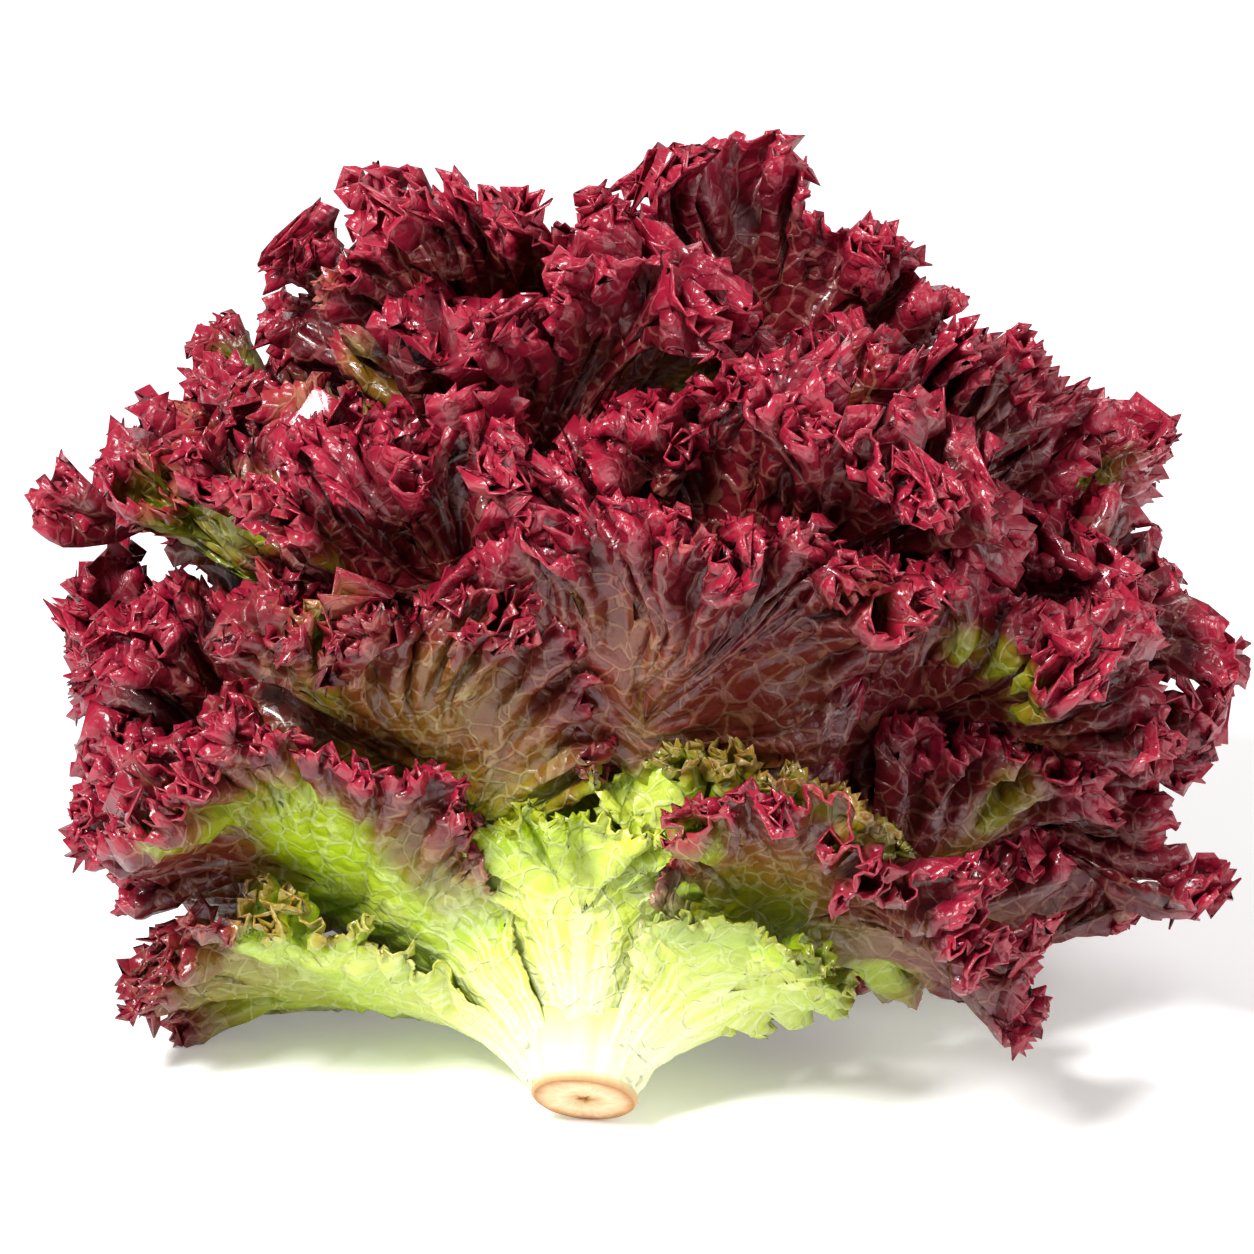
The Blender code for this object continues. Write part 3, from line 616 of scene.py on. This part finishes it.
def dressed_leaf(number):
    """One finished leaf: points and triangles of a closed thin body, and its values for the colours."""
    leaf = plan_leaf(number)
    look = LEAF_LOOKS.get(number, {})
    # The columns stand evenly along the frilled margin: its length is measured on a first, coarser sheet.
    trial_along = np.linspace(0.0, 1.0, 801)
    trial = frilled_sheet(leaf, look, trial_along)[0]
    step = np.linalg.norm(np.diff(trial[-1], axis=0), axis=1)
    run = np.concatenate([[0.0], np.cumsum(step + 0.25 * step.mean())])
    columns = int(min(MOST_COLUMNS, 32 * round(step.sum() / COLUMN_STEP / 32)))
    even = np.interp(np.linspace(0.0, run[-1], columns + 1), run, trial_along)
    sheet, calm, reach, width, inward, along, room = frilled_sheet(leaf, look, even)
    # The margin is drawn out into uneven pointed teeth about 3 mm apart, one for every second column.
    rng = np.random.default_rng(SEED * 3 + number)
    _, outward, off = directions(sheet)
    peaks = np.where(np.arange(columns + 1) % 2 == 1, 0.20 + 1.15 * rng.random(columns + 1), 0.0)
    last = np.clip((inward - 0.962) / 0.038, 0.0, 1.0)
    near = np.clip((inward - 0.72) / 0.28, 0.0, 1.0)
    toothed = between(look.get("frill", 1.0), 0.4, 1.0)
    teeth = (TOOTH_LENGTH * peaks - TOOTH_NOTCH)[None, :] * last * room * toothed
    sheet = sheet + outward * teeth[..., None]
    # The whole head is a little out of order: slow bends of 3 to 5 mm that neighbouring leaves share.
    x, y, z = (sheet[..., axis] for axis in range(3))
    away = blend(reach, 0.05, 0.11)
    bend_x = np.sin(97.0 * z + 61.0 * y + 0.7) + 0.7 * np.sin(153.0 * y - 88.0 * z + 2.1)
    bend_y = np.sin(89.0 * x + 73.0 * z + 1.9) + 0.7 * np.sin(141.0 * x - 93.0 * z + 0.4)
    bend_z = np.sin(93.0 * x - 79.0 * y + 2.6) + 0.7 * np.sin(137.0 * x + 101.0 * y + 1.2)
    bends = np.stack([bend_x, bend_y, bend_z], axis=-1)
    sheet = sheet + BEND_SIZE * away[..., None] * bends * np.clip(z / 0.03, 0.0, 1.0)[..., None]
    # Blisters between the veins, about 4 mm wide and up to 2 mm high: products of three sines.
    x, y, z = (sheet[..., axis] for axis in range(3))
    blister = np.sin(820.0 * x + 2.0 * np.sin(410.0 * z)) * np.sin(760.0 * y + 2.2 * np.sin(380.0 * x))
    blister = blister * np.sin(790.0 * z + 1.9 * np.sin(430.0 * y))
    sheet = sheet + off * (BLISTER_HEIGHT * blister * blend(reach, 0.02, 0.06) * (1.0 - 0.5 * near))[..., None]

    kept, numbers = row_numbers(columns)
    faces = leaf_triangles(numbers)

    def gather(grid):
        return np.concatenate([grid[row][take] for row, take in enumerate(kept)])

    middle = gather(sheet)
    calm_points = gather(calm)
    far = np.abs(2.0 * gather(along) - 1.0)
    r = gather(inward)
    flesh = (1.0 - blend(r, 0.0, 0.7)) * (0.12 + 0.88 * far ** 1.5)
    flesh = np.maximum(flesh, blend(far, 0.93, 1.0) * 0.6) * RIB_FLESH
    normals = smooth_normals(middle, faces)
    outer = middle + normals * BLADE_THICKNESS / 2.0 + smooth_normals(calm_points, faces) * flesh[:, None]
    inner = middle - normals * BLADE_THICKNESS / 2.0
    points = np.concatenate([outer, inner])
    # The margin's own edge joins the two faces.
    edges = np.concatenate([faces[:, [0, 1]], faces[:, [1, 2]], faces[:, [2, 0]]])
    total = len(middle)
    keys = edges[:, 0] * total + edges[:, 1]
    back = edges[:, 1] * total + edges[:, 0]
    rim_edges = edges[~np.isin(keys, back)]
    a, b = rim_edges[:, 0], rim_edges[:, 1]
    strip = np.concatenate([np.stack([b, a, a + total], axis=1), np.stack([b, a + total, b + total], axis=1)])
    body = np.concatenate([faces, faces[:, ::-1] + total, strip])
    corners = points[body]
    if np.einsum("ij,ij->i", corners[:, 0], np.cross(corners[:, 1], corners[:, 2])).sum() < 0.0:
        body = body[:, ::-1]
    # Frills are held inside the head's box, softly, and nothing goes under the table.
    slack = BOX_SLACK * (box_high - box_low)
    past = np.maximum(points - box_high, 0.0)
    points = points - past + slack * np.tanh(past / slack)
    past = np.maximum(box_low - points, 0.0)
    points = points + past - slack * np.tanh(past / slack)
    lifted = TABLE_SOFTNESS * np.logaddexp(0.0, points[:, 2] / TABLE_SOFTNESS)
    points[:, 2] = np.maximum(lifted - TABLE_SOFTNESS / 3.0, 0.0)

    # Colour, 0 for the white foot to 1 for the margin's full red: greener with distance from the stem, then
    # redder towards the margin by exp(-distance / band). The ramps make the values below 1 darker than 1
    # itself, as painted shade of the blade inside the margin.
    red = look.get("red", 1.0)
    near_margin = np.exp(-gather((1.0 - inward) * width) / RED_BAND)
    hue = 0.05 * np.sin(7.0 * gather(along) * math.pi + number) + 0.06 * np.sin(1.7 * number)
    # Past the tenth leaf the blade turns browner and darker away from the stem: partly the leaves' own
    # red-brown, partly painted shade of the blade between the frills.
    olive_and_shade = 0.33 if number == 0 else between(np.clip((number - 9.0) / 9.0, 0.0, 1.0), 0.44, 0.62)
    green = olive_and_shade * np.clip(gather(reach) / 0.085, 0.0, 1.0) ** 0.9 + hue * blend(gather(reach), 0.02, 0.07)
    reddening = blend(gather(reach), 0.020, 0.075) * min(1.0, red)
    depth = green + (1.0 - green) * reddening * np.clip(0.30 + near_margin, 0.0, 1.0)
    depth = depth * between(min(red, 1.0), 0.72, 1.0)
    if number == 0:
        depth = depth + 0.34 * blend(gather(reach), 0.085, 0.125)
    depth = np.clip(depth, 0.0, 1.0)
    # A band over the last tenth of the blade is mixed to a brighter crimson: the margin's own red, brightened
    # as a painted highlight of light through the thin edge.
    rim_red_and_highlight = blend(r, 0.90, 1.0) * gather(room) * min(1.0, red + 0.05)
    values = {
        "depth": np.tile(depth, 2),
        "rim": np.tile(rim_red_and_highlight, 2),
        "outer": np.concatenate([np.ones(total), np.zeros(total)]),
        "inward": np.tile(r, 2),
        "along": np.tile(gather(along), 2),
        "reach": np.tile(gather(reach), 2),
    }
    return points, body, values


# Leaf tissue, living: a waxy skin over wet cells, green where shaded and dark red where lit. It gives
# sharp small glints on blistered cells, thin pale net veins and a glow against the light. IOR 1.45 is
# that of plant wax; roughness 0.34 is the skin between glints, and the coat's 0.12 its wet-looking crests.
leaf_tissue = empty_material("lettuce leaf blade")
place = add_node(leaf_tissue, "TexCoord")
depth = add_node(leaf_tissue, "Attribute", {"attribute_name": "depth"})
rim_highlight_value = add_node(leaf_tissue, "Attribute", {"attribute_name": "rim"})
outer_value = add_node(leaf_tissue, "Attribute", {"attribute_name": "outer"})
inward_value = add_node(leaf_tissue, "Attribute", {"attribute_name": "inward"})
along_value = add_node(leaf_tissue, "Attribute", {"attribute_name": "along"})
reach_value = add_node(leaf_tissue, "Attribute", {"attribute_name": "reach"})
# The red is laid on in clouds of 3 cm and flecks of 5 mm, and shade between the leaves leaves some
# patches of 5 cm greener.
clouds = add_node(leaf_tissue, "TexNoise", {"Scale": 38.0, "Detail": 3.0},
                  {"Vector": place.outputs["Object"]})
flecks = add_node(leaf_tissue, "TexNoise", {"Scale": 190.0, "Detail": 2.0},
                  {"Vector": place.outputs["Object"]})
clouded = add_node(leaf_tissue, "Math", {"operation": "MULTIPLY_ADD", 1: 0.52, 2: -0.26},
                   {0: clouds.outputs["Fac"]})
flecked = add_node(leaf_tissue, "Math", {"operation": "MULTIPLY_ADD", 1: 0.26, 2: -0.13},
                   {0: flecks.outputs["Fac"]})
uneven = add_node(leaf_tissue, "Math", {"operation": "ADD"},
                  {0: clouded.outputs["Value"], 1: flecked.outputs["Value"]})
uneven = add_node(leaf_tissue, "Math", {"operation": "MULTIPLY"},
                  {0: uneven.outputs["Value"], 1: depth.outputs["Fac"]})
mixed = add_node(leaf_tissue, "Math", {"operation": "ADD"},
                 {0: depth.outputs["Fac"], 1: uneven.outputs["Value"]})
shade = add_node(leaf_tissue, "TexNoise", {"Scale": 21.0, "Detail": 1.0},
                 {"Vector": place.outputs["Object"]})
shaded = add_node(leaf_tissue, "MapRange",
                  {"From Min": 0.60, "From Max": 0.68, "To Min": 1.0, "To Max": 0.50},
                  {"Value": shade.outputs["Fac"]})
tone = add_node(leaf_tissue, "Math", {"operation": "MULTIPLY", "use_clamp": True},
                {0: mixed.outputs["Value"], 1: shaded.outputs["Result"]})
# Both ramps run dark from 0.46 to 0.84, dark olive to nearly black red, darker than the margin's red at 1: the
# blade's own olive and red-brown, darkened as painted shade of the hollows between the frills.
inner_colour_and_shade = add_ramp(leaf_tissue, tone.outputs["Value"], [
    (0.0, "#eeefcc"), (0.10, "#cddc50"), (0.22, "#9cba0c"), (0.34, "#7c9208"), (0.46, "#5f5c06"),
    (0.56, "#523006"), (0.66, "#540c0e"), (0.80, "#560914"), (1.0, "#82122a")])
outer_colour_and_shade = add_ramp(leaf_tissue, tone.outputs["Value"], [
    (0.0, "#f0f1d0"), (0.10, "#d6e05c"), (0.22, "#a4be16"), (0.34, "#8c9012"), (0.46, "#7a5416"),
    (0.58, "#6a2616"), (0.70, "#601018"), (0.84, "#5c0c18"), (1.0, "#82122a")])
face_colour_and_shade = add_node(leaf_tissue, "Mix", {"data_type": "RGBA"}, {
    "Factor": outer_value.outputs["Fac"], "A": inner_colour_and_shade.outputs["Color"],
    "B": outer_colour_and_shade.outputs["Color"]})
# The rim band is a brighter crimson than the blade: partly the margin's own red, partly a painted highlight of
# light shining through the thin edge.
rim_highlight_tone = add_node(leaf_tissue, "Math", {"operation": "MULTIPLY", 1: 0.85}, {0: rim_highlight_value.outputs["Fac"]})
rim_highlighted = add_node(leaf_tissue, "Mix", {"data_type": "RGBA", "B": linear("#a61a36")}, {
    "Factor": rim_highlight_tone.outputs["Value"], "A": face_colour_and_shade.outputs["Result"]})
# Net veins: cell walls of a 6 mm network, drawn 0.5 mm wide, pale on the outer face.
bends = add_node(leaf_tissue, "TexNoise", {"Scale": 130.0, "Detail": 0.0},
                 {"Vector": place.outputs["Object"]})
bent = add_node(leaf_tissue, "VectorMath", {"operation": "MULTIPLY_ADD", 1: (0.007, 0.007, 0.007)}, {
    0: bends.outputs["Color"], 2: place.outputs["Object"]})
net = add_node(leaf_tissue, "TexVoronoi", {"feature": "DISTANCE_TO_EDGE", "Scale": 165.0},
               {"Vector": bent.outputs["Vector"]})
net_line = add_node(leaf_tissue, "MapRange",
                    {"From Min": 0.035, "From Max": 0.085, "To Min": 1.0, "To Max": 0.0},
                    {"Value": net.outputs["Distance"]})
showing = add_node(leaf_tissue, "MapRange", {"To Min": 0.08, "To Max": 0.20},
                   {"Value": outer_value.outputs["Fac"]})
vein_mask = add_node(leaf_tissue, "Math", {"operation": "MULTIPLY"},
                     {0: net_line.outputs["Result"], 1: showing.outputs["Result"]})
vein_colour = add_ramp(leaf_tissue, tone.outputs["Value"], [
    (0.0, "#f4f6e2"), (0.35, "#dbe4a4"), (0.6, "#c9946f"), (1.0, "#b3606a")])
veined = add_node(leaf_tissue, "Mix", {"data_type": "RGBA"}, {
    "Factor": vein_mask.outputs["Value"], "A": rim_highlighted.outputs["Result"], "B": vein_colour.outputs["Color"]})
# Long parallel veins fan up the pale base: streaks that follow the margin, 1 to 3 mm apart.
strand_place = add_node(leaf_tissue, "CombineXYZ", {}, {
    "X": inward_value.outputs["Fac"], "Y": reach_value.outputs["Fac"], "Z": along_value.outputs["Fac"]})
strand_scale = add_node(leaf_tissue, "Mapping", {"Scale": (13.0, 30.0, 1.0)},
                        {"Vector": strand_place.outputs["Vector"]})
strands = add_node(leaf_tissue, "TexNoise", {"Scale": 1.0, "Detail": 2.0},
                   {"Vector": strand_scale.outputs["Vector"]})
strand_line = add_node(leaf_tissue, "MapRange", {"From Min": 0.40, "From Max": 0.60},
                       {"Value": strands.outputs["Fac"]})
near_base = add_node(leaf_tissue, "MapRange",
                     {"From Min": 0.015, "From Max": 0.05, "To Min": 0.45, "To Max": 0.0},
                     {"Value": reach_value.outputs["Fac"]})
strand_mask = add_node(leaf_tissue, "Math", {"operation": "MULTIPLY"},
                       {0: strand_line.outputs["Result"], 1: near_base.outputs["Result"]})
striped = add_node(leaf_tissue, "Mix", {"data_type": "RGBA", "B": linear("#f6f7e6")}, {
    "Factor": strand_mask.outputs["Value"], "A": veined.outputs["Result"]})
# Relief, finer than the mesh: strands at the base, the net of veins, blisters of 4 mm, wrinkles of
# 1.5 mm, and the skin's grain of 0.4 mm. They break the gloss up.
cells = add_node(leaf_tissue, "TexVoronoi", {"feature": "F1", "Scale": 260.0},
                 {"Vector": place.outputs["Object"]})
wrinkles = add_node(leaf_tissue, "TexNoise", {"Scale": 620.0, "Detail": 1.0},
                    {"Vector": place.outputs["Object"]})
strand_relief = add_node(leaf_tissue, "Bump", {"Strength": 0.30, "Distance": 0.0004},
                         {"Height": strands.outputs["Fac"]})
net_relief = add_node(leaf_tissue, "Bump", {"Strength": 0.45, "Distance": 0.0007}, {
    "Height": net_line.outputs["Result"], "Normal": strand_relief.outputs["Normal"]})
cell_relief = add_node(leaf_tissue, "Bump", {"Strength": 0.75, "Distance": 0.0012, "invert": True}, {
    "Height": cells.outputs["Distance"], "Normal": net_relief.outputs["Normal"]})
wrinkle_relief = add_node(leaf_tissue, "Bump", {"Strength": 0.50, "Distance": 0.0005}, {
    "Height": wrinkles.outputs["Fac"], "Normal": cell_relief.outputs["Normal"]})
grain = add_node(leaf_tissue, "TexNoise", {"Scale": 2400.0, "Detail": 0.0},
                 {"Vector": place.outputs["Object"]})
skin_relief = add_node(leaf_tissue, "Bump", {"Strength": 0.40, "Distance": 0.00012}, {
    "Height": grain.outputs["Fac"], "Normal": wrinkle_relief.outputs["Normal"]})
leaf_surface = add_node(leaf_tissue, "BsdfPrincipled",
                        {"Roughness": 0.34, "IOR": 1.45, "Coat Weight": 0.42, "Coat Roughness": 0.12},
                        {"Base Color": striped.outputs["Result"], "Normal": skin_relief.outputs["Normal"]})
leaf_glow = add_node(leaf_tissue, "BsdfTranslucent", {}, {"Color": striped.outputs["Result"]})
leaf_mix = add_node(leaf_tissue, "MixShader", {0: 0.11},
                    {1: leaf_surface.outputs["BSDF"], 2: leaf_glow.outputs["BSDF"]})
add_node(leaf_tissue, "OutputMaterial", {}, {"Surface": leaf_mix.outputs["Shader"]})

for number in range(LEAF_COUNT):
    leaf_points, leaf_faces, leaf_values = dressed_leaf(number)
    leaf_name = "frilled_leaf_%02d" % (number + 1)
    leaf_piece = add_piece(leaf_name, leaf_points, leaf_faces, leaf_values, leaf_tissue)
    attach(leaf_piece, "root")
    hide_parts("leaf_%02d" % (number + 1))

# The table: a plain white light table that the head lies on. It glows a little from below, which
# keeps its shadows pale. It isn't part of the head.
TABLE_HALF = 6.0
table_white = empty_material("white table")
table_surface = add_node(table_white, "BsdfPrincipled", {
    "Base Color": linear("#fdfdfc"), "Roughness": 0.75,
    "Emission Color": linear("#ffffff"), "Emission Strength": 0.24})
add_node(table_white, "OutputMaterial", {}, {"Surface": table_surface.outputs["BSDF"]})
table_mesh = bpy.data.meshes.new("table")
table_corners = [(-TABLE_HALF, -TABLE_HALF, 0.0), (TABLE_HALF, -TABLE_HALF, 0.0),
                 (TABLE_HALF, TABLE_HALF, 0.0), (-TABLE_HALF, TABLE_HALF, 0.0)]
table_mesh.from_pydata(table_corners, [], [(0, 1, 2, 3)])
table_mesh.materials.append(table_white)
table = bpy.data.objects.new("table", table_mesh)
bpy.context.scene.collection.objects.link(table)


def add_lamp(name, place, aim, size, power):
    """A square soft lamp at a place, turned towards the point it lights."""
    lamp = bpy.data.lights.new(name, "AREA")
    lamp.size = size
    lamp.energy = power
    thing = bpy.data.objects.new(name, lamp)
    thing.location = place
    way = np.asarray(aim, float) - np.asarray(place, float)
    across = math.hypot(way[0], way[1])
    thing.rotation_euler = (math.atan2(across, -way[2]), 0.0, math.atan2(-way[0], way[1]))
    bpy.context.scene.collection.objects.link(thing)


# Soft studio light: a white room, a strong lamp high on the left in front, and two weaker and larger
# ones on the right and behind. Each is given by its place, size in metres and power in watts.
HEAD_MIDDLE = (0.0, 0.0, 0.08)
add_lamp("key lamp", (-0.55, -0.75, 1.05), HEAD_MIDDLE, 0.30, 28.0)
add_lamp("fill lamp", (0.95, -0.55, 0.65), HEAD_MIDDLE, 0.70, 7.0)
add_lamp("back lamp", (0.10, 0.90, 1.10), HEAD_MIDDLE, 0.60, 7.0)
studio = bpy.data.worlds.new("white room")
studio.use_nodes = True
studio.node_tree.nodes["Background"].inputs["Color"].default_value = linear("#ffffff")
studio.node_tree.nodes["Background"].inputs["Strength"].default_value = 0.22
bpy.context.scene.world = studio
bpy.context.scene.view_settings.view_transform = "Standard"

# The camera looks along +Y, 20 degrees down, from 1.15 m; the cut's centre falls at pixel (584, 1100)
# of 1254. Its distance from the plane through the head's middle is 5 cm more than from the cut.
FRAME_PIXELS = 1254.0
CUT_PIXEL_ACROSS, CUT_PIXEL_DOWN = 584.0, 1100.0
PIXELS_A_METRE = 4670.0
CAMERA_DISTANCE = 1.15
CUT_NEARER = 0.05
CAMERA_DROP = math.radians(20.0)
view_way = np.array([0.0, math.cos(CAMERA_DROP), -math.sin(CAMERA_DROP)])
view_up = np.array([0.0, math.sin(CAMERA_DROP), math.cos(CAMERA_DROP)])
target = cut_centre + np.array([(FRAME_PIXELS / 2.0 - CUT_PIXEL_ACROSS) / PIXELS_A_METRE, 0.0, 0.0])
target = target + view_up * (CUT_PIXEL_DOWN - FRAME_PIXELS / 2.0) / PIXELS_A_METRE + view_way * CUT_NEARER
camera = bpy.data.cameras.new("camera")
camera.sensor_width = 36.0
camera.lens = 36.0 * (CAMERA_DISTANCE - CUT_NEARER) / (FRAME_PIXELS / PIXELS_A_METRE)
camera_thing = bpy.data.objects.new("camera", camera)
camera_thing.location = target - view_way * CAMERA_DISTANCE
camera_thing.rotation_euler = (math.radians(90.0) - CAMERA_DROP, 0.0, 0.0)
bpy.context.scene.collection.objects.link(camera_thing)
bpy.context.scene.camera = camera_thing

bpy.context.view_layer.update()
